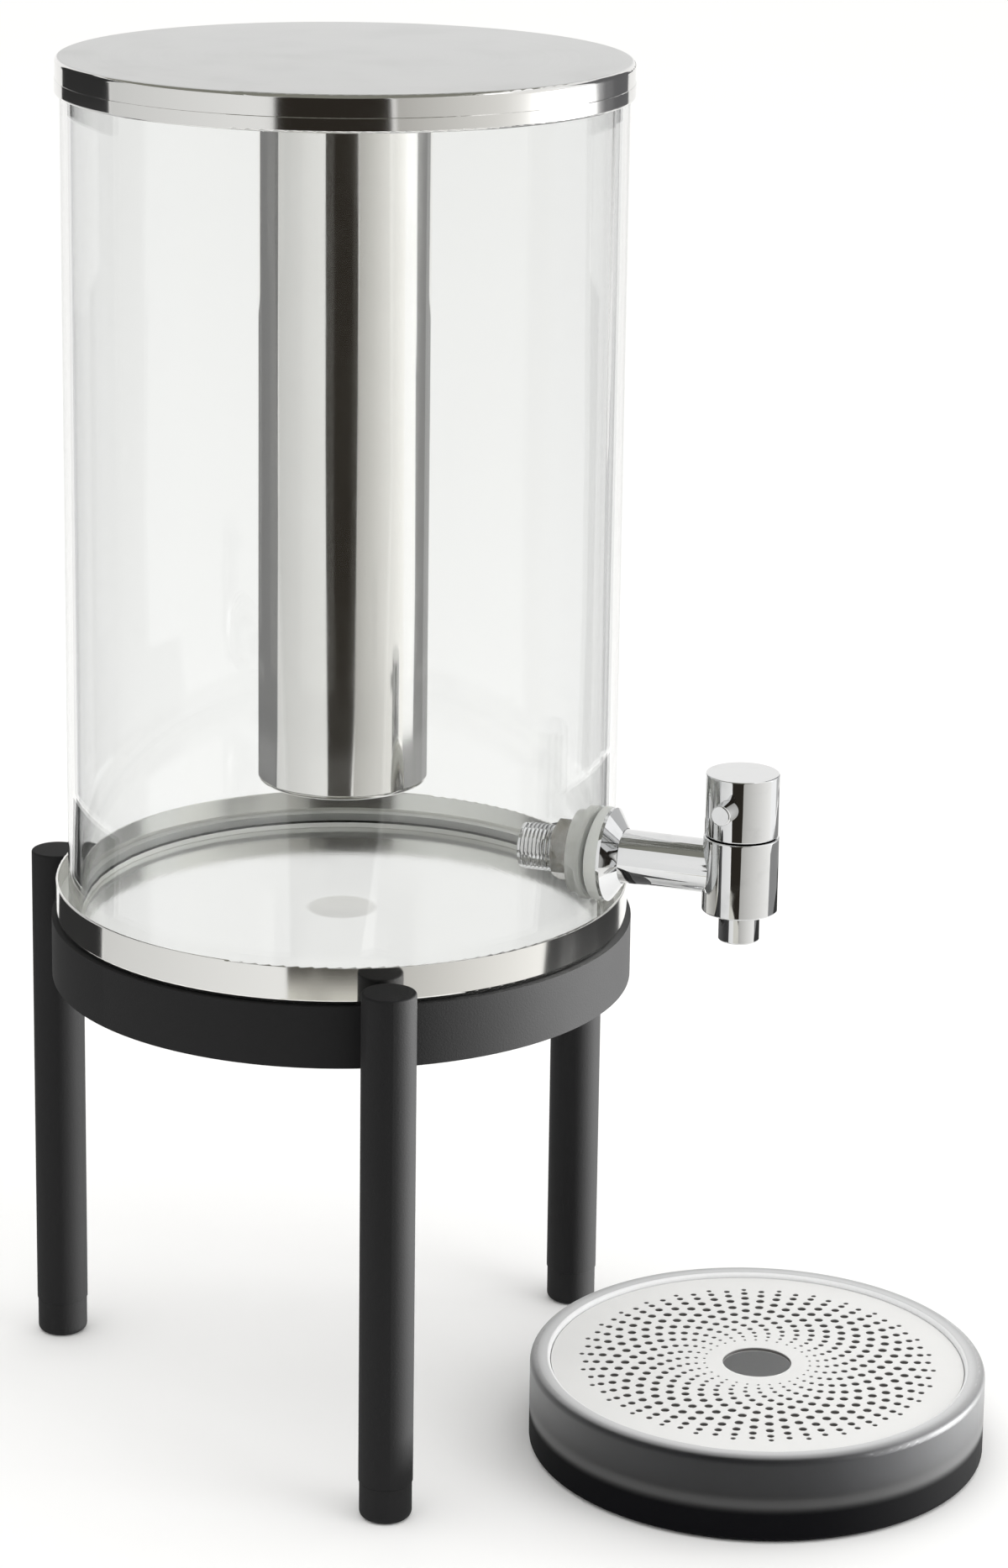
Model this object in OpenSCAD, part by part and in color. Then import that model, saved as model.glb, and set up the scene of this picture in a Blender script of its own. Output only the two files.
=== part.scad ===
// Juice dispenser: a glass cylinder in a shallow steel pan, carried by a three-legged stand,
// with a hanging ice tube, a quarter-turn plug tap and a loose drip tray under the spout.
// The dispenser's axis is Z, the table is z = 0 and the tap points along +X.

/* [Stand] */
// Height of the ring's underside above the table
ring_clear = 169.5; // [120:0.5:220]
// Height of the ring
ring_h = 23.2; // [18:0.2:32]
// Radial thickness of the ring
ring_t = 10; // [8:0.5:14]
// How far the ring stands out past the pan
ring_proud = 1.7; // [1.6:0.1:2]
// Diameter of a leg
leg_d = 20; // [16:0.5:26]
// Height of the legs above the top of the ring
leg_above = 8.8; // [5:0.2:12]
// Rounding at the lower end of a leg
leg_foot_r = 0.3; // [0.2:0.05:0.6]
// Rounding at the upper end of a leg
leg_top_r = 0.8; // [0.3:0.1:2]
// Clearance between the pan and a leg
leg_gap = 1.4; // [0.8:0.1:1.5]
// Height of a foot cap below its leg
foot_h = 14; // [8:0.5:24]
// How far a foot cap steps in from its leg
foot_step = 0.3; // [0.2:0.05:0.6]
// Rounding at the lower end of a foot cap
foot_edge_r = 2.5; // [1:0.25:4]
// Diameter of the plug that holds a foot cap in its leg
foot_plug_d = 12; // [8:0.5:14]
// Length of the plug that holds a foot cap in its leg
foot_plug_h = 10; // [6:0.5:20]
// Shank diameter of a leg screw
screw_d = 5; // [4:0.5:6]
// Head diameter of a leg screw
screw_head_d = 9; // [8:0.5:10]
// Depth of a leg screw in its leg
screw_grip = 13; // [8:0.5:15]
// Spacing of the two screws in a leg
screw_pitch = 11; // [9.5:0.5:13]

/* [Container] */
// Diameter of the pan
pan_d = 217; // [180:1:260]
// Thickness of the steel sheet
sheet_t = 1; // [0.8:0.1:1.5]
// Height of the pan
pan_h = 14.4; // [13:0.2:20]
// Outer bend radius at the foot of the pan
pan_corner_r = 2; // [1.75:0.25:3.75]
// Diameter of the flat in the middle of the pan's dimple
dimple_d = 6; // [4:0.5:16]
// Depth of the dimple in the pan
dimple_depth = 0.8; // [0.5:0.1:2]
// Width of the slope round the dimple's flat
dimple_slope = 11; // [4:0.5:16]
// Thickness of the base seal beside the glass
seal_side = 3.7; // [1.2:0.1:4.5]
// Thickness of the base seal under the glass
seal_floor = 2; // [1.5:0.1:4]
// Height of the base seal's outer edge above the foot of the glass
seal_grip = 3; // [1.5:0.25:6]
// Height of the glass cylinder
glass_h = 319.2; // [240:0.2:380]
// Wall of the glass cylinder
glass_t = 4.4; // [3:0.2:6]

/* [Lid] */
// How far the lid's skirt stands clear of the glass
lid_gap = 0.7; // [0.5:0.1:2]
// Height of the lid's skirt, with its top
skirt_h = 13.2; // [12:0.2:20]
// Outer bend radius at the top of the lid
lid_corner_r = 1.75; // [1.75:0.25:5]
// Height of the rolled hem at the foot of the skirt
hem_h = 5.4; // [3:0.2:8]
// How far the hem stands out past the skirt
hem_proud = 0.2; // [0.1:0.05:0.6]
// Rounding at the foot of the hem
hem_round = 0.9; // [0.4:0.1:0.9]
// Thickness of the lid seal over the glass
lid_seal_t = 2.5; // [1.5:0.1:4]
// Thickness of the lid seal's inner lip
seal_lip_t = 2; // [1.5:0.1:3]
// Height of the lid seal's inner lip
seal_lip_h = 6; // [3:0.5:8]
// Clearance between the lid seal's lip and the glass
lid_seal_gap = 0.4; // [0.3:0.1:0.8]

/* [Ice tube] */
// Diameter of the ice tube
tube_d = 64; // [50:1:84]
// Length of the ice tube
tube_len = 271.5; // [180:0.5:280]
// Wall of the ice tube
tube_t = 1; // [0.8:0.1:1.5]
// Outer bend radius at the foot of the ice tube
tube_corner_r = 2; // [1.75:0.25:8]
// Clearance between the ice tube's mouth and the lid
tube_top_gap = 0.4; // [0.3:0.1:1]
// Height of the collar that carries the ice tube
collar_h = 16; // [12:0.5:24]
// Wall of the collar
collar_t = 3; // [2.6:0.1:4]
// Clearance between the collar and the ice tube
collar_gap = 0.3; // [0.3:0.05:0.5]
// Section diameter of the collar's ring seal
tube_ring_d = 2.4; // [2:0.1:3]

/* [Tap] */
// Height of the tap's axis above the rim of the pan
tap_above_rim = 20.4; // [19:0.2:40]
// Reach from the glass to the axis of the tap head
tap_out = 53.8; // [40:0.1:70]
// Diameter of the tap body
head_d = 28; // [27:0.2:34]
// Height of the tap body
head_h = 28.6; // [27:0.2:34]
// Depth of the tap body below the tap's axis
head_below = 15.1; // [13.5:0.1:17]
// Rounding at the edges of the tap body and cap
head_edge_r = 0.6; // [0.3:0.1:1]
// Diameter of the cap
cap_d = 27.2; // [24:0.2:32]
// Height of the cap
cap_h = 23.4; // [21:0.1:30]
// Clearance between the cap and the tap body
cap_gap = 0.5; // [0.3:0.1:1.5]
// Diameter of the tap's pipe
pipe_d = 20; // [17:0.1:22]
// Thread diameter of the tap's shank
shank_d = 16.6; // [14:0.1:16.6]
// Length of the shank inside the glass
shank_in = 26.6; // [20:0.2:40]
// Clearance between the shank and the hole in the glass
shank_gap = 0.6; // [0.4:0.1:1.5]
// Bore of the tap
tap_bore = 9; // [7:0.25:9.5]
// Diameter of the spout
spout_d = 15.2; // [14.5:0.1:18]
// Length of the spout below the tap body
spout_h = 11.5; // [8:0.25:16]
// Bore of the spout
spout_bore = 10; // [8:0.25:10.5]
// Diameter of the spout's threaded neck
neck_d = 13; // [12:0.1:14]
// Height of the spout's threaded neck
neck_h = 3; // [2:0.1:3.2]
// Floor of the tap body under the plug
head_floor = 4; // [4:0.1:4.5]
// Diameter of the plug
plug_d = 18; // [17:0.1:19]
// Bore of the plug
plug_bore = 10.5; // [9:0.1:11]
// Thickness of the plug's top
plug_top = 3; // [2.5:0.1:3.2]
// Diameter of the plug's side port
port_d = 8; // [6:0.1:8.5]
// Diameter of the plug's stem
stem_d = 8; // [7.5:0.1:10]
// Height of the stem in the cap
stem_h = 16.5; // [16:0.1:18]
// Diameter of the gland ring
gland_d = 23; // [21.5:0.1:24]
// Height of the gland ring
gland_h = 3.4; // [2.5:0.1:3.6]
// Section diameter of the plug's ring seals
ring_seal_d = 1.8; // [1.5:0.1:2]
// Height of the lower ring seal above the foot of the plug
ring_seal_rise = 3.6; // [3:0.1:4]
// Diameter of the lever pin
lever_d = 7.6; // [6:0.1:8]
// Length of the lever pin outside the cap
lever_out = 8; // [6:0.25:30]
// Depth of the lever pin's thick part in the cap
lever_in = 4; // [3:0.25:5]
// Thread diameter of the lever pin
lever_thread_d = 5; // [4:0.1:5]
// Height of the lever pin above the foot of the cap
lever_rise = 12.6; // [10:0.1:13]
// Rounding at the end of the lever pin
lever_edge_r = 0.6; // [0.3:0.1:1]
// Angle of the closed lever past square to the pipe
lever_turn = 5; // [0:1:15]

/* [Tap seals] */
// Thickness of the outer seal on the tap's axis
outer_seal_t = 3.4; // [2:0.1:5]
// Diameter of the escutcheon and of the outer seal
escutcheon_d = 34.8; // [28:0.2:36]
// Length of the escutcheon
escutcheon_len = 5.8; // [4:0.2:12]
// Rim of the escutcheon before its taper
escutcheon_rim = 1.2; // [0.8:0.1:2]
// Wall of the escutcheon at its narrow end
escutcheon_wall = 2; // [1.2:0.1:2.5]
// Diameter of the inner seal
inner_seal_d = 34.8; // [28:0.2:36]
// Thickness of the inner seal on the tap's axis
inner_seal_t = 3; // [2.5:0.1:7]
// Diameter of the washer under the nut
washer_d = 31; // [24:0.5:34]
// Thickness of the washer under the nut
washer_t = 3.6; // [2:0.1:6]
// Width across flats of the lock nut
nut_af = 20.5; // [20:0.5:26]
// Thickness of the lock nut
nut_t = 7.1; // [5:0.1:9]
// Depth of the rounding at the ends of the lock nut
nut_edge = 0.8; // [0.4:0.1:1.2]

/* [Drip tray] */
// Diameter of the tray
tray_d = 172; // [140:1:190]
// Height of the tray
tray_h = 33.5; // [30:0.5:45]
// Distance of the tray's centre past the spout
tray_shift = 10.4; // [0:0.1:20]
// Distance of the tray's centre to the side of the tap, as it stands
tray_side = 5.4; // [-10:0.2:10]
// Wall of the tray beside the grid
tray_wall = 7.6; // [6:0.2:10]
// Floor of the tray
tray_floor = 3; // [2:0.1:4]
// Rounding at the upper outer edge of the tray
tray_edge_r = 3; // [1:0.25:4]
// Rounding at the foot of the tray
tray_foot_r = 1.5; // [0.5:0.25:1.75]
// Rounding at the inner edge of the tray
tray_inner_r = 1.6; // [0.5:0.1:2.5]
// Height of the weighted base under the tray
base_h = 12; // [6:0.5:14]
// Wall of the tray round its base
base_wall = 2.5; // [2:0.25:8]
// Height of the tray's wall above the table
base_proud = 0.8; // [0.4:0.1:1.5]
// Thickness of the grid
grid_t = 1.5; // [1:0.1:2.5]
// Depth of the grid below the rim of the tray
grid_sink = 2; // [0.5:0.1:4]
// Clearance between the grid and the tray
grid_gap = 0.4; // [0.3:0.1:0.8]
// Width of the ledge that carries the grid
ledge_w = 3; // [2:0.25:5]
// Diameter of the finger hole
finger_d = 26; // [18:0.5:32]
// Distance from the edge of the grid to the outermost drain holes
grid_margin = 11.5; // [6:0.25:15]
// Distance from the finger hole to the innermost drain holes
finger_margin = 7; // [5:0.25:15]
// Rings of drain holes
hole_rings = 17; // [5:1:17]
// Drain holes in a ring
ring_holes = 30; // [16:1:30]
// Largest drain hole
hole_max_d = 3.4; // [2:0.1:3.8]
// Rings over which the drain holes swirl before they stand in staggered rows
swirl_rings = 2.5; // [0.5:0.1:4]

/* [Fits] */
// Clearance of a piece in its seat
seat_gap = 0.05; // [0.03:0.01:0.1]
// Clearance of the turning plug in its bore
run_gap = 0.05; // [0.03:0.01:0.1]

/* [Hidden] */
$fn = 96;
// Sides of the large cylinders that shape a seal to the glass
fine_fn = 720;

// A little extra length that lets a cutter run past the face it opens
cut_past = 1;

// Stand
pan_r = pan_d / 2;
leg_r = leg_d / 2;
leg_pitch_r = pan_r + leg_gap + leg_r;
leg_angles = [180, -60, 60];
ring_r = pan_r + ring_proud;
ring_top = ring_clear + ring_h;
leg_top = ring_top + leg_above;
screw_r = screw_d / 2;
screw_head_r = screw_head_d / 2;
screw_head_h = screw_head_r - screw_r;
screw_heights = [for (side = [-1, 1]) ring_clear + ring_h / 2 + side * screw_pitch / 2];
screw_face = ring_r - ring_t + seat_gap + screw_head_r * screw_head_r / (2 * (ring_r - ring_t));
screw_tip = leg_pitch_r - leg_r + screw_grip;

// Container
pan_inner_r = pan_r - sheet_t;
pan_floor = ring_top + sheet_t;
pan_rim = ring_top + pan_h;
pan_inner_bend = pan_corner_r - sheet_t;
glass_r = pan_inner_r - seal_side;
glass_inner_r = glass_r - glass_t;
glass_foot = pan_floor + seal_floor;
glass_top = glass_foot + glass_h;

// Lid and ice tube
lid_under = glass_top + lid_seal_t;
lid_top = lid_under + sheet_t;
lid_inner_r = glass_r + lid_gap;
lid_r = lid_inner_r + sheet_t;
hem_r = lid_r + hem_proud;
tube_r = tube_d / 2;
tube_inner_r = tube_r - tube_t;
tube_top = lid_under - tube_top_gap;
tube_foot = tube_top - tube_len;
collar_r = tube_inner_r - collar_gap;
tube_ring_r = tube_ring_d / 2;
tube_ring_centre = tube_inner_r - seat_gap - tube_ring_r;
tube_ring_z = lid_under - collar_h / 2;

// Tap head
tap_z = pan_rim + tap_above_rim;
tap_x = glass_r + tap_out;
head_r = head_d / 2;
head_foot = tap_z - head_below;
head_top = head_foot + head_h;
plug_r = plug_d / 2;
plug_foot = head_foot + head_floor + seat_gap;
plug_crown = head_top - gland_h - seat_gap;
stem_r = stem_d / 2;
gland_r = gland_d / 2;
cap_r = cap_d / 2;
cap_foot = head_top + cap_gap;
stem_top = cap_foot + stem_h;
lever_z = cap_foot + lever_rise;
lever_r = lever_d / 2;
ring_seal_r = ring_seal_d / 2;
ring_seal_heights = [plug_foot + ring_seal_rise, plug_crown - ring_seal_d];
ring_seal_centre = plug_r + run_gap - seat_gap - ring_seal_r;

// Tap shank
pipe_r = pipe_d / 2;
shank_r = shank_d / 2;
shank_end = glass_inner_r - shank_in;
seal_face = glass_r + outer_seal_t;
pipe_start = seal_face + escutcheon_len;
washer_face = glass_inner_r - inner_seal_t;
nut_face = washer_face - washer_t;
nut_end = nut_face - nut_t;
escutcheon_r = escutcheon_d / 2;
nut_corner_r = nut_af / 2 / cos(30);

// Drip tray
tray_x = tap_x + tray_shift;
tray_r = tray_d / 2;
base_r = tray_r - base_wall;
tray_mouth_r = tray_r - tray_wall;
tray_well_r = tray_mouth_r - ledge_w;
grid_r = tray_mouth_r - grid_gap;
grid_top = tray_h - grid_sink;
grid_foot = grid_top - grid_t;
well_floor = base_h + seat_gap + tray_floor;
hole_r_out = grid_r - grid_margin;
hole_r_in = finger_d / 2 + finger_margin;
// The rings lie closer towards the rim, by the sine of an angle that runs between these two
spread_start = -26;
spread_end = 66;
// The holes widen and narrow again towards the rim, by the sine of an angle that runs between these two
size_start = 20;
size_end = 143;

// Half outline of a post, rounded at its foot and at its top
module post_outline(r, h, foot_r, top_r) {
    square([r - foot_r, h / 2]);
    translate([0, h / 2]) square([r - top_r, h / 2]);
    translate([0, foot_r]) square([r, h - foot_r - top_r]);
    translate([r - foot_r, foot_r]) circle(r = foot_r);
    translate([r - top_r, h - top_r]) circle(r = top_r);
}

// Quarter of a bent sheet's section, outside at the lower right
module sheet_bend(r, t) {
    intersection() {
        difference() {
            circle(r = r);
            circle(r = r - t);
        }
        translate([0, -r]) square(r);
    }
}

// Ring of rectangular section, between two radii and two heights
module band(r_in, r_out, low, high) {
    translate([0, 0, low]) rotate_extrude() translate([r_in, 0]) square([r_out - r_in, high - low]);
}

// Places its children round the dispenser's axis, their own +X pointing outwards
module at_angle(angle, r, z) {
    rotate([0, 0, angle]) translate([r, 0, z]) children();
}

// Places its children on the tap's axis, their own +Z pointing along +X
module along_tap(x) {
    translate([x, 0, tap_z]) rotate([0, 90, 0]) children();
}

// Solid outline of a leg screw, with a clearance round it, along +X from its head
module screw_shape(gap, head_run) {
    length = screw_tip - screw_face;
    rotate([0, 90, 0]) {
        cylinder(r = screw_r + gap, h = length + gap);
        cylinder(r1 = screw_head_r + gap, r2 = screw_r + gap, h = screw_head_h);
        translate([0, 0, -head_run]) cylinder(r = screw_head_r + gap, h = head_run + gap);
    }
}

module stand_ring() {
    color("dimgray") difference() {
        band(ring_r - ring_t, ring_r, ring_clear, ring_top);
        for (angle = leg_angles) {
            at_angle(angle, leg_pitch_r, 0) cylinder(r = leg_r + seat_gap, h = leg_top + cut_past);
            for (z = screw_heights) at_angle(angle, screw_face, z) screw_shape(seat_gap, ring_t / 2);
        }
    }
}

module leg(angle) {
    color("black") difference() {
        at_angle(angle, leg_pitch_r, foot_h) {
            rotate_extrude() post_outline(leg_r, leg_top - foot_h, leg_foot_r, leg_top_r);
        }
        at_angle(angle, leg_pitch_r, foot_h - cut_past) {
            cylinder(d = foot_plug_d + 2 * seat_gap, h = foot_plug_h + seat_gap + cut_past);
        }
        for (z = screw_heights) at_angle(angle, screw_face, z) screw_shape(seat_gap, seat_gap);
    }
}

module leg_rear() {
    leg(leg_angles[0]);
}

module leg_left() {
    leg(leg_angles[1]);
}

module leg_right() {
    leg(leg_angles[2]);
}

module leg_screws() {
    color("silver") for (angle = leg_angles, z = screw_heights) {
        at_angle(angle, screw_face, z) screw_shape(0, seat_gap);
    }
}

module foot_caps() {
    color("dimgray") for (angle = leg_angles) at_angle(angle, leg_pitch_r, 0) {
        rotate_extrude() post_outline(leg_r - foot_step, foot_h, foot_edge_r, leg_foot_r);
        cylinder(d = foot_plug_d, h = foot_h + foot_plug_h);
    }
}

module base_pan() {
    dimple_r = dimple_d / 2;
    slope_r = dimple_r + dimple_slope;
    color("gainsboro") translate([0, 0, ring_top]) rotate_extrude() {
        translate([0, -dimple_depth]) square([dimple_r, sheet_t]);
        polygon([
            [dimple_r, -dimple_depth],
            [slope_r, 0],
            [slope_r, sheet_t],
            [dimple_r, sheet_t - dimple_depth]
        ]);
        translate([slope_r, 0]) square([pan_r - pan_corner_r - slope_r, sheet_t]);
        translate([pan_r - pan_corner_r, pan_corner_r]) sheet_bend(pan_corner_r, sheet_t);
        translate([pan_inner_r, pan_corner_r]) square([sheet_t, pan_h - pan_corner_r - sheet_t / 2]);
        translate([pan_r - sheet_t / 2, pan_h - sheet_t / 2]) circle(d = sheet_t);
    }
}

module base_seal() {
    outer_r = pan_inner_r - seat_gap;
    bend_r = pan_inner_bend - seat_gap;
    bend_centre = [pan_r - pan_corner_r, pan_corner_r];
    low = sheet_t + seat_gap;
    high = sheet_t + seal_floor + seal_grip;
    color("whitesmoke") translate([0, 0, ring_top]) rotate_extrude() difference() {
        union() {
            translate([glass_inner_r, low]) square([bend_centre[0] - glass_inner_r, high - low]);
            translate([glass_inner_r, bend_centre[1]]) square([outer_r - glass_inner_r, high - bend_centre[1]]);
            intersection() {
                translate(bend_centre) circle(r = bend_r);
                translate([bend_centre[0], 0]) square([bend_r, bend_centre[1]]);
            }
        }
        translate([0, sheet_t + seal_floor]) square([glass_r + seat_gap, pan_h]);
    }
}

module glass_cylinder() {
    color("azure", 0.35) difference() {
        band(glass_inner_r, glass_r, glass_foot, glass_top);
        along_tap(0) cylinder(r = shank_r + shank_gap, h = glass_r + cut_past);
    }
}

module tap_body() {
    color("silver") difference() {
        union() {
            translate([tap_x, 0, head_foot]) {
                rotate_extrude() post_outline(head_r, head_h, head_edge_r, head_edge_r);
            }
            along_tap(pipe_start) cylinder(r = pipe_r, h = tap_x - pipe_start);
            along_tap(shank_end) cylinder(r = shank_r, h = tap_x - shank_end);
        }
        translate([tap_x, 0, head_foot + head_floor]) cylinder(r = plug_r + run_gap, h = head_h);
        translate([tap_x, 0, head_top - gland_h]) cylinder(r = gland_r + seat_gap, h = head_h);
        translate([tap_x, 0, head_foot - cut_past]) cylinder(d = spout_bore, h = head_h);
        translate([tap_x, 0, head_foot - cut_past]) {
            cylinder(d = neck_d + 2 * seat_gap, h = neck_h + seat_gap + cut_past);
        }
        along_tap(shank_end - cut_past) cylinder(d = tap_bore, h = tap_x - shank_end);
    }
}

module spout_nozzle() {
    color("silver") translate([tap_x, 0, head_foot - spout_h]) difference() {
        union() {
            rotate_extrude() post_outline(spout_d / 2, spout_h, head_edge_r, head_edge_r / 2);
            cylinder(d = neck_d, h = spout_h + neck_h);
        }
        translate([0, 0, -cut_past]) cylinder(d = spout_bore, h = spout_h + neck_h + 2 * cut_past);
    }
}

module gland_ring() {
    color("darkgray") translate([tap_x, 0, 0]) {
        band(stem_r + run_gap, gland_r, head_top - gland_h + seat_gap, head_top);
    }
}

module escutcheon() {
    color("silver") along_tap(seal_face) rotate_extrude() difference() {
        union() {
            square([escutcheon_r, escutcheon_rim]);
            polygon([
                [0, escutcheon_rim],
                [escutcheon_r, escutcheon_rim],
                [shank_r + escutcheon_wall, escutcheon_len],
                [0, escutcheon_len]
            ]);
        }
        translate([0, -cut_past]) square([shank_r + seat_gap, escutcheon_len + 2 * cut_past]);
    }
}

module outer_seal() {
    sag = glass_r - sqrt(glass_r * glass_r - escutcheon_r * escutcheon_r);
    thick = outer_seal_t + sag;
    color("whitesmoke") difference() {
        along_tap(glass_r - sag) difference() {
            cylinder(r = escutcheon_r, h = thick);
            translate([0, 0, -cut_past]) cylinder(r = shank_r + seat_gap, h = thick + 2 * cut_past);
        }
        translate([0, 0, tap_z - escutcheon_d]) {
            cylinder(r = glass_r + seat_gap, h = 2 * escutcheon_d, $fn = fine_fn);
        }
    }
}

module inner_seal() {
    color("whitesmoke") intersection() {
        along_tap(washer_face) difference() {
            cylinder(d = inner_seal_d, h = inner_seal_t);
            translate([0, 0, -cut_past]) cylinder(r = shank_r + seat_gap, h = inner_seal_t + 2 * cut_past);
        }
        translate([0, 0, tap_z - inner_seal_d]) {
            cylinder(r = glass_inner_r - seat_gap, h = 2 * inner_seal_d, $fn = fine_fn);
        }
    }
}

module nut_washer() {
    color("white") along_tap(nut_face) difference() {
        cylinder(d = washer_d, h = washer_t);
        translate([0, 0, -cut_past]) cylinder(r = shank_r + seat_gap, h = washer_t + 2 * cut_past);
    }
}

module lock_nut() {
    color("tan") along_tap(nut_end) difference() {
        intersection() {
            cylinder(r = nut_corner_r, h = nut_t, $fn = 6);
            rotate_extrude() polygon([
                [0, 0],
                [nut_af / 2, 0],
                [nut_corner_r, nut_edge],
                [nut_corner_r, nut_t - nut_edge],
                [nut_af / 2, nut_t],
                [0, nut_t]
            ]);
        }
        translate([0, 0, -cut_past]) cylinder(r = shank_r + seat_gap, h = nut_t + 2 * cut_past);
    }
}

// Places its children on the cap's axis at the height of the lever, their own +X along the lever
module at_lever() {
    translate([tap_x, 0, lever_z]) rotate([0, 0, -90 - lever_turn]) children();
}

// Lever pin with a clearance round it, along +X from the axis of the cap
module lever_shape(gap) {
    neck = cap_r - lever_in;
    rotate([0, 90, 0]) {
        cylinder(d = lever_thread_d + 2 * gap, h = neck + lever_in);
        translate([0, 0, neck - gap]) rotate_extrude() {
            post_outline(lever_r + gap, lever_in + lever_out + gap, lever_edge_r / 2, lever_edge_r);
        }
    }
}

module tap_cap() {
    color("silver") difference() {
        translate([tap_x, 0, cap_foot]) {
            rotate_extrude() post_outline(cap_r, cap_h, head_edge_r, head_edge_r);
        }
        translate([tap_x, 0, cap_foot - cut_past]) {
            cylinder(r = stem_r + seat_gap, h = stem_h + seat_gap + cut_past);
        }
        at_lever() lever_shape(seat_gap);
    }
}

module lever_pin() {
    color("silver") at_lever() lever_shape(0);
}

module valve_plug() {
    groove = ring_seal_r + seat_gap;
    color("lightgray") difference() {
        translate([tap_x, 0, plug_foot]) {
            cylinder(r = plug_r, h = plug_crown - plug_foot);
            cylinder(r = stem_r, h = stem_top - plug_foot);
        }
        translate([tap_x, 0, plug_foot - cut_past]) {
            cylinder(d = plug_bore, h = plug_crown - plug_top - plug_foot + cut_past);
        }
        translate([tap_x, 0, tap_z]) rotate([-90, 0, 0]) cylinder(d = port_d, h = plug_d);
        for (z = ring_seal_heights) translate([tap_x, 0, z]) {
            band(ring_seal_centre - groove, plug_d, -groove, groove);
        }
        at_lever() {
            lever_shape(seat_gap);
            rotate([0, 90, 0]) cylinder(d = lever_thread_d + 2 * seat_gap, h = stem_d, center = true);
        }
    }
}

module plug_ring_seals() {
    color("dimgray") for (z = ring_seal_heights) {
        translate([tap_x, 0, z]) rotate_extrude() translate([ring_seal_centre, 0]) circle(r = ring_seal_r);
    }
}

module lid_shell() {
    color("gainsboro") translate([0, 0, lid_top]) rotate_extrude() {
        translate([0, -sheet_t]) square([lid_r - lid_corner_r, sheet_t]);
        translate([lid_r - lid_corner_r, -lid_corner_r]) mirror([0, 1]) sheet_bend(lid_corner_r, sheet_t);
        translate([lid_inner_r, hem_h - skirt_h]) square([sheet_t, skirt_h - hem_h - lid_corner_r]);
        translate([0, -skirt_h]) intersection() {
            post_outline(hem_r, hem_h, hem_round, hem_proud);
            translate([lid_inner_r, 0]) square([hem_r - lid_inner_r, hem_h]);
        }
    }
}

module lid_seal() {
    lip_r = glass_inner_r - lid_seal_gap - seal_lip_t;
    color("whitesmoke") union() {
        band(lip_r, lid_inner_r - lid_corner_r, glass_top, lid_under);
        band(lip_r, lip_r + seal_lip_t, glass_top - seal_lip_h, lid_under);
    }
}

module tube_collar() {
    groove = tube_ring_r + seat_gap;
    color("silver") difference() {
        band(collar_r - collar_t, collar_r, lid_under - collar_h, lid_under);
        band(tube_ring_centre - groove, tube_d, tube_ring_z - groove, tube_ring_z + groove);
    }
}

module tube_ring_seal() {
    color("dimgray") translate([0, 0, tube_ring_z]) rotate_extrude() {
        translate([tube_ring_centre, 0]) circle(r = tube_ring_r);
    }
}

module ice_tube() {
    color("silver") translate([0, 0, tube_foot]) rotate_extrude() {
        square([tube_r - tube_corner_r, tube_t]);
        translate([tube_r - tube_corner_r, tube_corner_r]) sheet_bend(tube_corner_r, tube_t);
        translate([tube_inner_r, tube_corner_r]) square([tube_t, tube_len - tube_corner_r]);
    }
}

module tray_bowl() {
    color("lightgray") translate([tray_x, tray_side, 0]) rotate_extrude() difference() {
        translate([0, base_proud]) post_outline(tray_r, tray_h - base_proud, tray_foot_r, tray_edge_r);
        translate([0, -cut_past]) square([base_r, base_h + seat_gap + cut_past]);
        translate([0, well_floor]) square([tray_well_r, tray_h]);
        translate([0, grid_foot]) square([tray_mouth_r, tray_h]);
        translate([tray_mouth_r, tray_h - tray_inner_r]) difference() {
            square(tray_inner_r);
            translate([tray_inner_r, 0]) circle(r = tray_inner_r);
        }
    }
}

module tray_base() {
    color("black") translate([tray_x, tray_side, 0]) cylinder(r = base_r - seat_gap, h = base_h);
}

// How far out a ring of drain holes lies, from 0 at the innermost to 1 at the outermost
function ring_share(ring) = ring / (hole_rings - 1);

// Radius of a ring of drain holes
function ring_r_at(ring) =
    let (angle = spread_start + (spread_end - spread_start) * ring_share(ring))
    let (share = (sin(angle) - sin(spread_start)) / (sin(spread_end) - sin(spread_start)))
    hole_r_in + (hole_r_out - hole_r_in) * share;

// Diameter of the drain holes in a ring
function hole_d(ring) = hole_max_d * sin(size_start + (size_end - size_start) * ring_share(ring));

// Turn of a ring, in steps from hole to hole: in line at first, then half a step more for each ring
function ring_turn(ring) = (ring - swirl_rings * (1 - exp(-ring / swirl_rings))) / 2;

module tray_grid() {
    color("white") translate([tray_x, tray_side, grid_foot]) linear_extrude(grid_t) difference() {
        circle(r = grid_r);
        circle(d = finger_d);
        for (ring = [0 : hole_rings - 1], hole = [0 : ring_holes - 1]) {
            rotate((hole + ring_turn(max(ring - 1, 0))) * 360 / ring_holes) {
                translate([ring_r_at(ring), 0]) circle(d = hole_d(ring), $fn = 24);
            }
        }
    }
}

stand_ring();
leg_rear();
leg_left();
leg_right();
leg_screws();
foot_caps();
base_pan();
base_seal();
glass_cylinder();
tap_body();
spout_nozzle();
gland_ring();
escutcheon();
outer_seal();
inner_seal();
nut_washer();
lock_nut();
tap_cap();
lever_pin();
valve_plug();
plug_ring_seals();
lid_shell();
lid_seal();
tube_collar();
tube_ring_seal();
ice_tube();
tray_bowl();
tray_base();
tray_grid();
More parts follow.
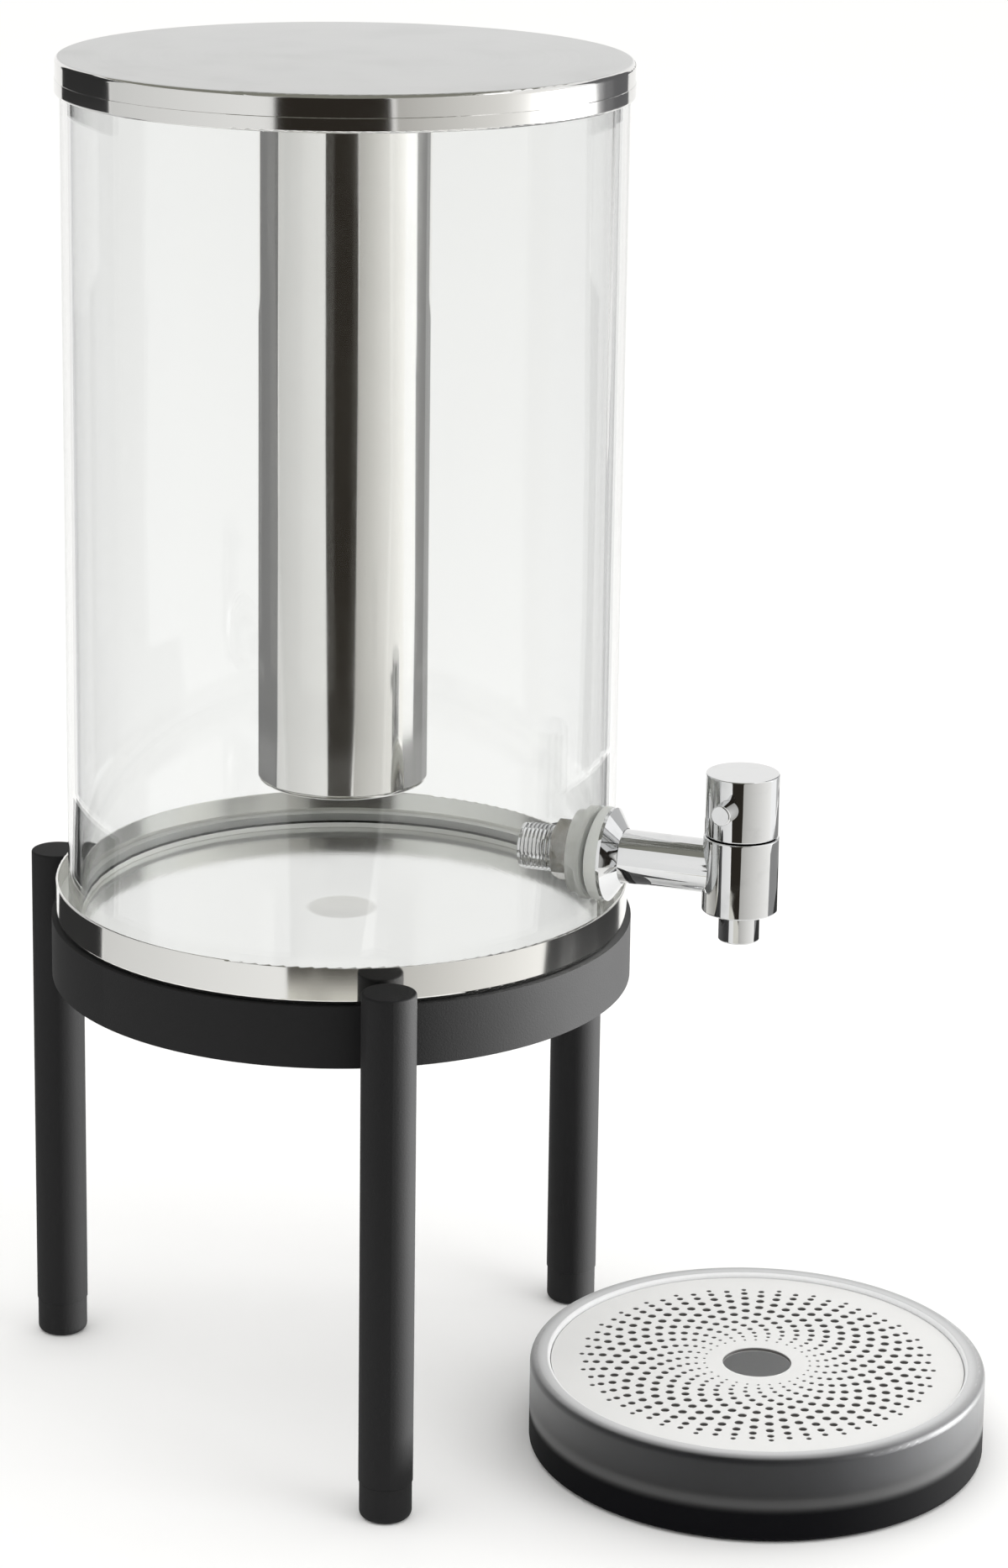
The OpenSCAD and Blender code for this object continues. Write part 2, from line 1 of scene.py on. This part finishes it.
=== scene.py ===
# %% [markdown]
# # Juice dispenser
# A glass cylinder stands in a shallow steel pan on a black three-legged stand. An ice tube hangs inside it, a
# chromed tap leaves the glass near its foot, and a frosted drip tray waits under the spout. The solids come from
# the packed model, which is loaded here as a fixed frame in metres: the dispenser's axis is Z, the table is z = 0
# and the tap points along +X. This file adds the camera, the studio, the finishes and the small forms that the
# solids leave out.

# %% Load the packed model
import math
import bmesh
import bpy
from mathutils import Matrix, Vector


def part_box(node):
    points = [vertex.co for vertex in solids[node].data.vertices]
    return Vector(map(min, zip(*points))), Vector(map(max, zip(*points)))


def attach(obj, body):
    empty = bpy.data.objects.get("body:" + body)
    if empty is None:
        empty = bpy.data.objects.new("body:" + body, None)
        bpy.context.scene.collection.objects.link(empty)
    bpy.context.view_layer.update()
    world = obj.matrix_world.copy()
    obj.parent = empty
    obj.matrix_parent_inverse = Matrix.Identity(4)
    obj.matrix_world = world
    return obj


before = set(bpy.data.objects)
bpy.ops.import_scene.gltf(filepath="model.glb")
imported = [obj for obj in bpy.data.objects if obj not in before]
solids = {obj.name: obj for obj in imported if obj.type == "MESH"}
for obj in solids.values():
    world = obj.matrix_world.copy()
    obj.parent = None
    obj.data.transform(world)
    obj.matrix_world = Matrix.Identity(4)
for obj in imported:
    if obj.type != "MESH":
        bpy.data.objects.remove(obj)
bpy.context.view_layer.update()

# %% [markdown]
# ## Camera
# The photograph was taken from a little above the lid with a long lens. Its camera was found beforehand by fitting
# the edges of the lid, pan, legs and tray to the picture. A camera could be aimed at a target with a constraint, but
# a plain matrix keeps every number in sight: turn to the heading, tilt down, then the slight roll of the hand. The
# lens is shifted down, as a view camera's is, so that uprights stay nearly parallel.

# %% Place the camera
PHOTO_HEIGHT = 1867
FOCAL_PIXELS = 5017.12
eye = Vector((0.5717, -1.4191, 0.7126))
heading, tilt, roll = 19.701, 76.328, 0.7915

lens = bpy.data.cameras.new("photo_camera")
lens.sensor_width = 36
lens.lens = FOCAL_PIXELS / PHOTO_HEIGHT * lens.sensor_width
lens.shift_y = -0.16
camera = bpy.data.objects.new("photo_camera", lens)
bpy.context.scene.collection.objects.link(camera)
camera.matrix_world = (
    Matrix.Translation(eye)
    @ Matrix.Rotation(math.radians(heading), 4, "Z")
    @ Matrix.Rotation(math.radians(tilt), 4, "X")
    @ Matrix.Rotation(math.radians(roll), 4, "Z")
)
bpy.context.scene.camera = camera
bpy.context.scene.view_settings.view_transform = "Standard"
print(f"lens {lens.lens:.1f} mm, {eye.length:.2f} m from the foot of the dispenser")

# %% [markdown]
# ## Shader arithmetic
# Every finish below is worked out by nodes, not painted. Adding nodes one by one makes long scripts, so two small
# classes help: a Wire is one output of a node and turns Python's operators into Math nodes, and a Finish is a
# material whose node method adds any other node. With them a mask can be written as 1 - edge * 0.5.

# %% Wires and finishes
class Wire:
    """One output of a node. Arithmetic on it adds Math nodes."""

    def __init__(self, finish, socket):
        self.finish = finish
        self.socket = socket

    def math(self, operation, a, b):
        return self.finish.node("ShaderNodeMath", {"operation": operation}, {0: a, 1: b})

    def __add__(self, other):
        return self.math("ADD", self, other)

    def __radd__(self, other):
        return self.math("ADD", other, self)

    def __sub__(self, other):
        return self.math("SUBTRACT", self, other)

    def __rsub__(self, other):
        return self.math("SUBTRACT", other, self)

    def __mul__(self, other):
        return self.math("MULTIPLY", self, other)

    def __gt__(self, other):
        return self.math("GREATER_THAN", self, other)


class Finish:
    """A material made of nodes, with one Principled shader."""

    def __init__(self, name):
        self.material = bpy.data.materials.new(name)
        self.material.use_nodes = True
        self.tree = self.material.node_tree
        self.shader = self.tree.nodes["Principled BSDF"]

    def node(self, kind, settings=None, sockets=None, output=0):
        made = self.tree.nodes.new(kind)
        for name, value in (settings or {}).items():
            setattr(made, name, value)
        for name, value in (sockets or {}).items():
            self.plug(made.inputs[name], value)
        return Wire(self, made.outputs[output])

    def plug(self, socket, value):
        if isinstance(value, Wire):
            self.tree.links.new(value.socket, socket)
        else:
            socket.default_value = value

    def surface(self, **sockets):
        for name, value in sockets.items():
            self.plug(self.shader.inputs[name.replace("_", " ")], value)
        return self.material

    def place(self):
        """Object coordinates, in metres."""
        return self.node("ShaderNodeTexCoord", output="Object")

    def axes(self):
        """The three Object coordinates as separate wires."""
        split = self.node("ShaderNodeSeparateXYZ", sockets={0: self.place()}).socket.node
        return [Wire(self, socket) for socket in split.outputs]

    def height(self):
        """Height above the table."""
        return self.axes()[2]

    def reach(self, middle=(0, 0)):
        """Distance from an upright axis."""
        x, y, z = self.axes()
        level = self.node("ShaderNodeCombineXYZ", None, {0: x, 1: y, 2: 0.0})
        return self.node(
            "ShaderNodeVectorMath", {"operation": "DISTANCE"}, {0: level, 1: (*middle, 0)}, output="Value"
        )

    def noise(self, scale, detail=2.0, stretch=(1, 1, 1)):
        """Noise of a given number of waves per metre, stretched along the axes."""
        where = self.node("ShaderNodeMapping", {"vector_type": "POINT"}, {"Vector": self.place(), "Scale": stretch})
        return self.node("ShaderNodeTexNoise", None, {"Vector": where, "Scale": scale, "Detail": detail})

    def fade(self, value, low, high):
        """0 below low, 1 above high, smooth between."""
        return self.node(
            "ShaderNodeMapRange", {"interpolation_type": "SMOOTHSTEP"},
            {"Value": value, "From Min": low, "From Max": high},
        )

    def tint(self, factor, dark, light):
        """A colour between two colours."""
        return self.node(
            "ShaderNodeMix", {"data_type": "RGBA"}, {0: factor, 6: (*dark, 1), 7: (*light, 1)}, output=2
        )

    def bump(self, height, depth):
        """A normal from a height of 0 to 1 that stands for a depth in metres."""
        return self.node("ShaderNodeBump", None, {"Height": height, "Distance": depth})


def dress(finish, *names):
    """Gives solids of the frame a finish."""
    for name in names:
        solids[name].material_slots[0].material = finish.material
    print(finish.material.name, "on", ", ".join(names))


print("a Finish can", ", ".join(name for name in vars(Finish) if not name.startswith("_")))

# %% [markdown]
# ## Studio
# The dispenser was photographed on white, under large soft lights. A picture of a studio wrapped round the scene could
# give that light, but a wide pale floor and an even white sky do the same with no file, and two weak lights add a hint
# of direction. A third light stands low on the right. It gives the black stand and the tray the sheen along their right
# edges, and only shiny surfaces take it.

# %% Floor and sky
FLOOR_HALF = 30.0
SKY_COLOUR = (1.0, 0.995, 0.985, 1)
SKY_STRENGTH = 1.05

floor_mesh = bmesh.new()
bmesh.ops.create_grid(floor_mesh, x_segments=1, y_segments=1, size=FLOOR_HALF)
floor_data = bpy.data.meshes.new("studio_floor")
floor_mesh.to_mesh(floor_data)
floor_mesh.free()
floor = bpy.data.objects.new("studio_floor", floor_data)
bpy.context.scene.collection.objects.link(floor)

pale = Finish("studio_floor")
floor_data.materials.append(pale.surface(
    Base_Color=pale.tint(pale.noise(3.0), (0.945, 0.945, 0.94), (0.96, 0.96, 0.955)),
    Roughness=0.9,
))

sky = bpy.data.worlds.new("studio_sky")
sky.use_nodes = True
background = sky.node_tree.nodes["Background"]
background.inputs["Color"].default_value = SKY_COLOUR
background.inputs["Strength"].default_value = SKY_STRENGTH
bpy.context.scene.world = sky
print(f"floor {2 * FLOOR_HALF:.0f} m wide, sky at {SKY_STRENGTH}")

# %% Soft lights
AIM = Vector((0.05, 0, 0.25))


def softbox(name, at, width, height, watts):
    """A rectangular light that faces the middle of the object."""
    data = bpy.data.lights.new(name, "AREA")
    data.shape = "RECTANGLE"
    data.size, data.size_y = width, height
    data.energy = watts
    light = bpy.data.objects.new(name, data)
    bpy.context.scene.collection.objects.link(light)
    place = Vector(at)
    turn = (AIM - place).to_track_quat("-Z", "Y").to_matrix().to_4x4()
    light.matrix_world = Matrix.Translation(place) @ turn
    return light


softbox("top_light", (0.1, -0.2, 2.4), 2.4, 2.4, 8)
softbox("right_light", (1.9, -0.3, 1.2), 1.0, 1.6, 8)
edge_light = softbox("edge_light", (1.34, 0.68, 0.17), 0.4, 0.30, 80)
edge_light.visible_diffuse = False
print("three soft lights")

# %% [markdown]
# ## Cards for the mirrors
# Polished steel has no look of its own: it shows the room. The dark and light stripes in the tube, lid, pan and tap are
# the flags and panels that stood round them. Stripes could be painted on the metal, but they would stay put when the
# view turns. So real cards stand round the object, each placed by following a stripe's edges from the photograph off
# the metal and out into the room. Mirrors alone see them: camera, shadow and diffuse rays pass them, and so does light
# that has only gone through the glass. A card's bearings are in degrees from the camera's, positive to the right.

# %% A card that only mirrors see
FOOT = 0.002  # just above the floor
TOP = 0.80
CEILING = 1.25
SIDE = 0.50  # distances from the dispenser's axis
BEHIND = SIDE + 0.01
FRONT = 0.66
CARD_STEPS = 24
camera_bearing = math.degrees(math.atan2(eye.y, eye.x))
print(f"the camera's bearing is {camera_bearing:.1f} degrees")


def grey(level):
    return (level, level, level)


def card(name, shade, rows, end_shade=None, inside=False):
    """A bent card. A row is its distance from the axis, its height, and the bearings where it starts and ends.
    The shade can change from start to end. An inside card shows only in metal behind the glass: such light has
    crossed the faces of the wall four times."""
    made = bmesh.new()
    made.loops.layers.uv.new("across")
    bmesh.ops.create_grid(made, x_segments=CARD_STEPS, y_segments=len(rows) - 1, size=0.5, calc_uvs=True)
    for corner in made.verts:
        radius, height, start, end = rows[round((corner.co.y + 0.5) * (len(rows) - 1))]
        bearing = math.radians(camera_bearing + start + (end - start) * (corner.co.x + 0.5))
        corner.co = (radius * math.cos(bearing), radius * math.sin(bearing), height)
    data = bpy.data.meshes.new(name)
    made.to_mesh(data)
    made.free()
    piece = bpy.data.objects.new(name, data)
    bpy.context.scene.collection.objects.link(piece)
    piece.visible_camera = piece.visible_diffuse = piece.visible_shadow = False

    look = Finish(name)
    look.tree.nodes.remove(look.shader)
    mirrored = look.node("ShaderNodeLightPath", output="Glossy Depth") > 0.5
    if inside:
        mirrored = mirrored * (look.node("ShaderNodeLightPath", output="Transmission Depth") > 3.5)
    clear = look.node("ShaderNodeBsdfTransparent")
    colour = (*shade, 1)
    if end_shade:
        across = look.node("ShaderNodeSeparateXYZ", None, {0: look.node("ShaderNodeUVMap", {"uv_map": "across"})})
        colour = look.tint(across, shade, end_shade)
    glow = look.node("ShaderNodeEmission", None, {"Color": colour})
    mixed = look.node("ShaderNodeMixShader", None, {0: mirrored, 1: clear, 2: glow})
    look.plug(look.tree.nodes["Material Output"].inputs["Surface"], mixed)
    data.materials.append(look.material)


# %% Cards in front of the object
card("front_flag", (0.030, 0.026, 0.021), [
    (FRONT, FOOT, -21, 6), (FRONT, 0.05, -22, 11), (FRONT, 0.09, -26, 15), (FRONT, 0.26, -24.5, 17.5),
    (FRONT, 0.43, -26, 16), (FRONT, TOP, -26, 16), (1.1, CEILING, -26, 16)])
card("front_mat", (0.82, 0.805, 0.74), [(0.40, FOOT, -22, 8), (FRONT, FOOT, -22, 8)])
card("ceiling_front", (0.26, 0.26, 0.225), [(0.0, CEILING, -150, 60), (1.1, CEILING, -150, 60)])
card("ceiling_back", (0.26, 0.26, 0.225), [(0.0, CEILING, 60, 210), (0.45, CEILING, 60, 210)])
print("four cards in front and above")

# %% Cards on the left
LID_VIEW = 0.434  # above it a side card shows in the lid, below it in the glass

card("left_panel", (0.78, 0.78, 0.77), [
    (SIDE, FOOT, -101, -18), (SIDE, 0.13, -97, -20), (SIDE, 0.29, -95, -24.5), (SIDE, TOP, -95, -25.5)],
    end_shade=(1.02, 1.02, 1.01))
card("left_flag", grey(0.035), [(SIDE, FOOT, -152, -102), (SIDE, 0.10, -140, -99)])
card("left_flag_high", grey(0.035), [(SIDE, LID_VIEW, -138, -96), (SIDE, TOP, -138, -96)])
card("left_grey", grey(0.70), [(BEHIND, 0.10, -138, -96), (BEHIND, LID_VIEW, -138, -96)])
card("left_inner", grey(0.16), [
    (SIDE, 0.08, -162, -96), (SIDE, 0.33, -162, -96), (SIDE, 0.34, -149, -96), (SIDE, LID_VIEW, -149, -96)],
    inside=True)
print("five cards on the left")

# %% Cards on the right
card("right_panel", (0.56, 0.55, 0.525), [
    (SIDE, FOOT, 7, 75), (SIDE, 0.125, 15, 86), (SIDE, 0.29, 17.5, 84), (SIDE, TOP, 17, 84)],
    end_shade=(1.16, 1.15, 1.12))
card("right_strip", grey(1.20), [
    (SIDE, 0.125, 86, 107), (SIDE, 0.20, 84, 109), (SIDE, 0.29, 84, 109), (SIDE, TOP, 84, 99)])
card("right_flag", grey(0.05), [(SIDE, 0.028, 75, 138), (SIDE, 0.085, 80, 138)])
card("right_low", grey(0.32), [(SIDE, 0.085, 80, 138), (SIDE, 0.125, 86, 138)])
card("right_grey", grey(0.62), [(BEHIND, 0.125, 107, 138), (BEHIND, 0.20, 109, 138), (BEHIND, LID_VIEW, 104, 138)])
card("right_grey_high", (0.14, 0.14, 0.145), [(SIDE, LID_VIEW, 104, 138), (SIDE, TOP, 99, 138)])
card("right_inner", grey(0.25), [
    (SIDE, 0.125, 107, 138), (SIDE, 0.20, 109, 138), (SIDE, LID_VIEW, 104, 138)], inside=True)
card("right_inner_rear", grey(0.40), [
    (SIDE, 0.08, 138, 162), (SIDE, 0.33, 138, 162), (SIDE, 0.34, 138, 149), (SIDE, LID_VIEW, 138, 149)],
    inside=True)
print("eight cards on the right")

# %% [markdown]
# ## Black powder coat
# The ring, the three legs and their foot caps are coated in matte black powder. Baked powder melts into a skin with
# a very fine orange peel. An image of it would smear on the round legs, so two noises in Object coordinates make it:
# a fine one for the peel, in the bump, and a broad one that lets the shine drift a little.

# %% Powder coat
coat = Finish("black_powder_coat")
drift = coat.noise(14, 3)
peel = coat.noise(1500, 2)
coat.surface(
    Base_Color=coat.tint(drift, (0.0036, 0.0036, 0.0042), (0.0060, 0.0060, 0.0068)),
    Roughness=0.70 + drift * 0.10,
    Specular_IOR_Level=0.38,
    Normal=coat.bump(peel, 0.00006),
)
dress(coat, "stand_ring", "leg_rear", "leg_left", "leg_right", "foot_caps")

# %% [markdown]
# ## Black rubber and moulded plastic
# The ring seals and the tray's weighted base are moulded in black. They could share the coat's finish, but they are
# duller and a little greyer, with the grain of a spark-eroded mould. So they get their own: a fine noise for the grain
# and a coarser one for the dust that rubber holds.

# %% Rubber
rubber = Finish("black_rubber")
dust = rubber.noise(60, 4)
grain = rubber.noise(2600, 2)
rubber.surface(
    Base_Color=rubber.tint(dust, (0.010, 0.010, 0.010), (0.017, 0.017, 0.017)),
    Roughness=0.58 + dust * 0.16,
    Specular_IOR_Level=0.4,
    Normal=rubber.bump(grain, 0.00003),
)
dress(rubber, "tray_base", "plug_ring_seals", "tube_ring_seal")

# %% [markdown]
# ## Polished steel
# The ice tube is drawn from stainless sheet and polished. What makes it look drawn, not computed, is that the sheet
# is never quite true: its reflections sway a little along the tube. A long, weak noise in the bump does that, and a
# second noise leaves faint wiping marks in the roughness.

# %% Ice tube
def polish(finish, sway_scale, sway_depth, stretch=(1, 1, 1)):
    """Roughness and normal of a polished sheet that is not quite true."""
    wipe = finish.noise(45, 4, (1, 1, 0.25))
    sway = finish.noise(sway_scale, 1, stretch)
    return 0.08 + finish.fade(wipe, 0.45, 0.75) * 0.05, finish.bump(sway, sway_depth)


mirror = Finish("polished_steel")
shine, sway = polish(mirror, 18, 0.00035, (1, 1, 0.35))
mirror.surface(
    Base_Color=mirror.tint(mirror.noise(30, 2), (0.91, 0.90, 0.875), (0.96, 0.95, 0.93)),
    Metallic=1.0,
    Roughness=shine,
    Normal=sway,
)
dress(mirror, "ice_tube", "tube_collar", "leg_screws")

# %% [markdown]
# ## Lid
# The lid is one pressing: its skirt is polished and its top is satin, from a fine abrasive disc that turned on it.
# Both finishes sit on one solid, so the height of a point decides which one it gets, with the change just inside
# the rim's bend. The satin's fine scratches are circles: noise read by the distance from the axis alone.

# %% Lid finish
def satin_scratches(finish, waves):
    """Noise in circles about the dispenser's axis."""
    x, y, z = finish.axes()
    ring = finish.node("ShaderNodeCombineXYZ", None, {0: finish.reach() * waves, 1: x * 6.0, 2: y * 6.0})
    return finish.node("ShaderNodeTexNoise", None, {"Vector": ring, "Scale": 1.0, "Detail": 3.0})


lid_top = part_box("lid_shell")[1].z
lid = Finish("lid_steel")
scratch = satin_scratches(lid, 2500)
satin = lid.fade(lid.height(), lid_top - 0.0004, lid_top - 0.00005)
shine, sway = polish(lid, 14, 0.0008)
lid.surface(
    Base_Color=lid.tint(
        satin * 0.75 + lid.noise(25, 3) * 0.25, (0.72, 0.715, 0.70), (0.662, 0.668, 0.672)),
    Metallic=1.0,
    Roughness=shine + satin * (0.30 + scratch * 0.12),
    Normal=lid.node("ShaderNodeBump", None, {
        "Height": scratch * satin, "Distance": 0.00002, "Normal": sway}),
)
dress(lid, "lid_shell")

# %% [markdown]
# ## Pan
# The pan is the same pressing turned over. Its outside is polished like the skirt of the lid. Inside, the press tool
# has left fine rings round the wall, and the floor is brighter and a little dulled by wiping. The shallow dimple in
# its middle is painted greyer: painted shade in the hollow.

# %% Where the pan is floor, wall or outside
DIMPLE_R = 0.0130

pan_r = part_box("base_pan")[1].x
pan = Finish("pan_steel")
reach = pan.reach()
past_floor = pan.fade(reach, pan_r - 0.0105, pan_r - 0.0085)
floor_part = 1 - past_floor
wall_part = past_floor * (1 - pan.fade(reach, pan_r - 0.0009, pan_r - 0.0006))
# The dimple is painted greyer: painted shade in the hollow.
dimple_shade = 1 - pan.fade(reach, DIMPLE_R - 0.0015, DIMPLE_R + 0.0015)
print(f"pan of {2 * pan_r * 1000:.0f} mm")

# %% Pan finish
scratch = satin_scratches(pan, 1200)
rings = pan.node(
    "ShaderNodeTexNoise", {"noise_dimensions": "1D"}, {"W": pan.height(), "Scale": 1100.0, "Detail": 3.0})
shine, sway = polish(pan, 8, 0.0003)
outside_or_floor = pan.tint(floor_part - dimple_shade * 0.9, (0.76, 0.755, 0.735), (0.98, 0.98, 0.975))
pan.surface(
    Base_Color=pan.node("ShaderNodeMix", {"data_type": "RGBA"}, {
        0: wall_part, 6: outside_or_floor, 7: (0.90, 0.895, 0.86, 1)}, output=2),
    Metallic=1 - wall_part * 0.15,
    Roughness=shine + floor_part * scratch * 0.03 + wall_part * (0.02 + rings * 0.10),
    Normal=pan.node("ShaderNodeBump", None, {
        "Height": rings * wall_part + scratch * floor_part, "Distance": 0.00002, "Normal": sway}),
)
dress(pan, "base_pan")

# %% [markdown]
# ## Chrome
# The tap's body, cap, lever, spout and escutcheon are turned from brass and chromed. The steel's finish could serve,
# but chrome is bluer, and turning leaves the surface true. So there is hardly any sway here, and only finger marks
# break the shine.

# %% Chrome finish
chrome = Finish("polished_chrome")
touch = chrome.fade(chrome.noise(120, 4), 0.5, 0.75)
chrome.surface(
    Base_Color=chrome.tint(touch, (0.70, 0.705, 0.71), (0.65, 0.655, 0.66)),
    Metallic=1.0,
    Roughness=0.028 + touch * 0.05,
    Normal=chrome.bump(chrome.noise(70, 1), 0.00006),
)
dress(chrome, "tap_body", "spout_nozzle", "gland_ring", "escutcheon", "tap_cap", "lever_pin")

# %% [markdown]
# ## Glass
# The cylinder is a drawn tube of clear glass. The solid has its real wall, so a refracting shader gives the dark
# lines at its sides and rims by itself. Drawn glass carries faint streaks along its length: a stretched, weak bump.

# %% Glass finish
glass = Finish("drawn_glass")
streak = glass.noise(60, 2, (1, 1, 0.04))
glass.surface(
    Base_Color=glass.tint(glass.noise(8, 2), (0.908, 0.914, 0.912), (0.922, 0.928, 0.926)),
    Roughness=0.0,
    IOR=1.47,
    Transmission_Weight=1.0,
    Normal=glass.bump(streak, 0.00003),
)
dress(glass, "glass_cylinder")

# %% [markdown]
# ## Seals, washer and nut
# The tap sits in a hole of the glass between a seal of pale silicone outside and a white one inside, with a washer and
# a nickel-plated nut on it. Silicone lets light in a little way. A plain pale colour would look like paint there, so it
# gets subsurface scattering of about a millimetre. The white mouldings are denser and need none. The nut was cut from
# bar: fine turning marks run round its axis, and the plating is warmer where it is worn.

# %% Seal finish
silicone = Finish("pale_silicone")
cloud = silicone.noise(120, 3)
silicone.surface(
    Base_Color=silicone.tint(cloud, (0.58, 0.595, 0.565), (0.64, 0.65, 0.62)),
    Roughness=0.34 + cloud * 0.16,
    Subsurface_Weight=0.5,
    Subsurface_Radius=(1.0, 0.95, 0.85),
    Subsurface_Scale=0.0012,
    Normal=silicone.bump(silicone.noise(900, 2), 0.00003),
)
dress(silicone, "outer_seal", "lid_seal")

# %% White seals, washer and plug
white = Finish("white_moulding")
speck = white.noise(400, 3)
white.surface(
    Base_Color=white.tint(speck, (0.86, 0.87, 0.82), (0.90, 0.905, 0.86)),
    Roughness=0.36 + speck * 0.1,
    Normal=white.bump(white.noise(1800, 2), 0.00002),
)
dress(white, "base_seal", "inner_seal", "nut_washer", "valve_plug")

# %% Nut
plating = Finish("nickel_plating")
turned = plating.node(
    "ShaderNodeTexNoise", {"noise_dimensions": "1D"}, {"W": plating.axes()[0], "Scale": 4000.0, "Detail": 2.0})
worn = plating.fade(plating.noise(220, 4), 0.45, 0.7)
plating.surface(
    Base_Color=plating.tint(worn, (0.54, 0.53, 0.50), (0.44, 0.41, 0.36)),
    Metallic=1.0,
    Roughness=0.12 + turned * 0.10,
    Normal=plating.bump(turned, 0.000005),
)
dress(plating, "lock_nut")

# %% [markdown]
# ## Drip tray
# The bowl is cast in clear acrylic and sand-blasted, so it blurs what is behind it: roughness on a refracting shader
# does that. Its colour is set nearly black, so hardly any light passes: painted shade that stands in for the dark
# inside of the bowl. The black base shows through its foot as a soft dark band, here a near-black shader below the top
# of the base. Blasted faces also catch light like snow, so a white bloom is mixed in at the rim, inside the bowl and
# where the wall turns away, more of it towards the top, with a thin painted band of light just above the base. The grid
# on it is a sheet of white plastic with silky faces. The walls of its holes are painted dark as shade, so the colour
# goes by height.

# %% Frosted acrylic
frost = Finish("frosted_acrylic")
blast = frost.noise(900, 3)
# The acrylic's colour is nearly black: painted shade for the dark inside of the bowl.
frost.surface(
    Base_Color=frost.tint(frost.noise(30, 3), (0.016, 0.017, 0.020), (0.026, 0.027, 0.031)),
    Roughness=0.50 + blast * 0.08,
    IOR=1.49,
    Transmission_Weight=1.0,
    Normal=frost.bump(blast, 0.00001),
)
clear_part = Wire(frost, frost.shader.outputs[0])
bloom = frost.node("ShaderNodeBsdfPrincipled", None, {
    "Base Color": frost.tint(blast, (0.78, 0.785, 0.79), (0.84, 0.845, 0.85)),
    "Roughness": 0.9, "Specular IOR Level": 0.0})
backed = frost.node("ShaderNodeBsdfPrincipled", None, {
    "Base Color": frost.tint(blast, (0.002, 0.002, 0.003), (0.004, 0.004, 0.005)),
    "Roughness": 0.60, "Specular IOR Level": 0.05})
print("acrylic: clear, white and backed with black")

# %% Where the acrylic is clear, white or backed with black
tray_low, tray_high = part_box("tray_bowl")
base_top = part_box("tray_base")[1].z
grid_low, grid_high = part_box("tray_grid")
tray_r = (tray_high.x - tray_low.x) / 2
grid_r = (grid_high.x - grid_low.x) / 2
tray_middle = ((tray_low.x + tray_high.x) / 2, (tray_low.y + tray_high.y) / 2)
from_axis = frost.reach(tray_middle)
z = frost.height()
facing = frost.node("ShaderNodeLayerWeight", None, {"Blend": 0.5}, output="Facing")
rim = frost.fade(z, tray_high.z - 0.0011, tray_high.z - 0.0001) * (
    1 - frost.fade(from_axis, tray_r - 0.0055, tray_r - 0.0010) * 0.6)
inner_face = 1 - frost.fade(from_axis, grid_r + 0.0008, grid_r + 0.0016)
over_base = frost.fade(z, base_top - 0.0010, base_top + 0.0030)
# A thin band just above the base gets a little more white bloom: a painted band of light.
painted_light_band = over_base * (1 - frost.fade(z, base_top + 0.0035, base_top + 0.0070))
upper = frost.fade(z, base_top, tray_high.z)
haze = facing * facing * (0.14 + upper * 0.30)
white_part = over_base * haze + painted_light_band * 0.05 + rim * 0.56 + inner_face * 0.95
seen = frost.node("ShaderNodeMixShader", None, {0: white_part, 1: clear_part, 2: bloom})
frost.plug(
    frost.tree.nodes["Material Output"].inputs["Surface"],
    frost.node("ShaderNodeMixShader", None, {0: over_base, 1: backed, 2: seen}),
)
dress(frost, "tray_bowl")

# %% White grid
silky = Finish("white_grid")
silk = silky.noise(700, 3)
z = silky.height()
border = silky.fade(silky.reach(tray_middle), grid_r - 0.0035, grid_r - 0.0030)
faces = silky.fade(z, grid_high.z - 0.0005, grid_high.z - 0.00005) + (
    1 - silky.fade(z, grid_low.z + 0.00002, grid_low.z + 0.00025))
# The walls of the holes, away from the faces and the border, take the dark colour: painted shade.
not_in_painted_shade = faces + border - faces * border
silky.surface(
    Base_Color=silky.tint(
        not_in_painted_shade * (0.93 + silky.noise(40, 3) * 0.07), (0.11, 0.105, 0.10), (0.79, 0.79, 0.78)),
    Roughness=0.42 + silk * 0.1,
    Normal=silky.bump(silk, 0.00002),
)
dress(silky, "tray_grid")

# %% [markdown]
# ## Thread of the tap
# Past the nut the tap's shank ends in about thirteen millimetres of bare thread. The solid has a plain cylinder there.
# A thread is a small triangle that climbs as it goes round, so the spin operator makes it: it turns the triangle
# about the tap's axis and moves it along by a fixed bit at each step.

# %% Shank thread
PITCH = 0.0015
STEPS_PER_TURN = 48
THREAD_HEIGHT = 0.00045
ROOT_DEPTH = 0.00005
SHANK_R = 0.0083

nut_low, nut_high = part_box("lock_nut")
shank_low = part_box("tap_body")[0]
tap_height = (nut_low.z + nut_high.z) / 2
turns = math.floor((nut_low.x - shank_low.x) / PITCH - 0.4)

thread = bmesh.new()
root = shank_low.x + 0.35 * PITCH
profile = ((0, -ROOT_DEPTH), (0.42, THREAD_HEIGHT), (0.58, THREAD_HEIGHT), (1, -ROOT_DEPTH))
triangle = [
    thread.verts.new((root + along * PITCH, 0, tap_height + SHANK_R + out)) for along, out in profile
]
start = thread.faces.new(triangle)
bmesh.ops.spin(
    thread, geom=[start, *start.edges, *triangle], cent=(0, 0, tap_height), axis=(1, 0, 0),
    dvec=(PITCH / STEPS_PER_TURN, 0, 0), angle=2 * math.pi * turns, steps=turns * STEPS_PER_TURN,
)
bmesh.ops.recalc_face_normals(thread, faces=thread.faces)
thread_data = bpy.data.meshes.new("shank_thread")
thread.to_mesh(thread_data)
thread.free()
shank_thread = bpy.data.objects.new("shank_thread", thread_data)
bpy.context.scene.collection.objects.link(shank_thread)
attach(shank_thread, "container")
thread_data.materials.append(chrome.material)
print(f"{turns} turns, {len(thread_data.polygons)} faces")

# %% [markdown]
# ## Close the scene
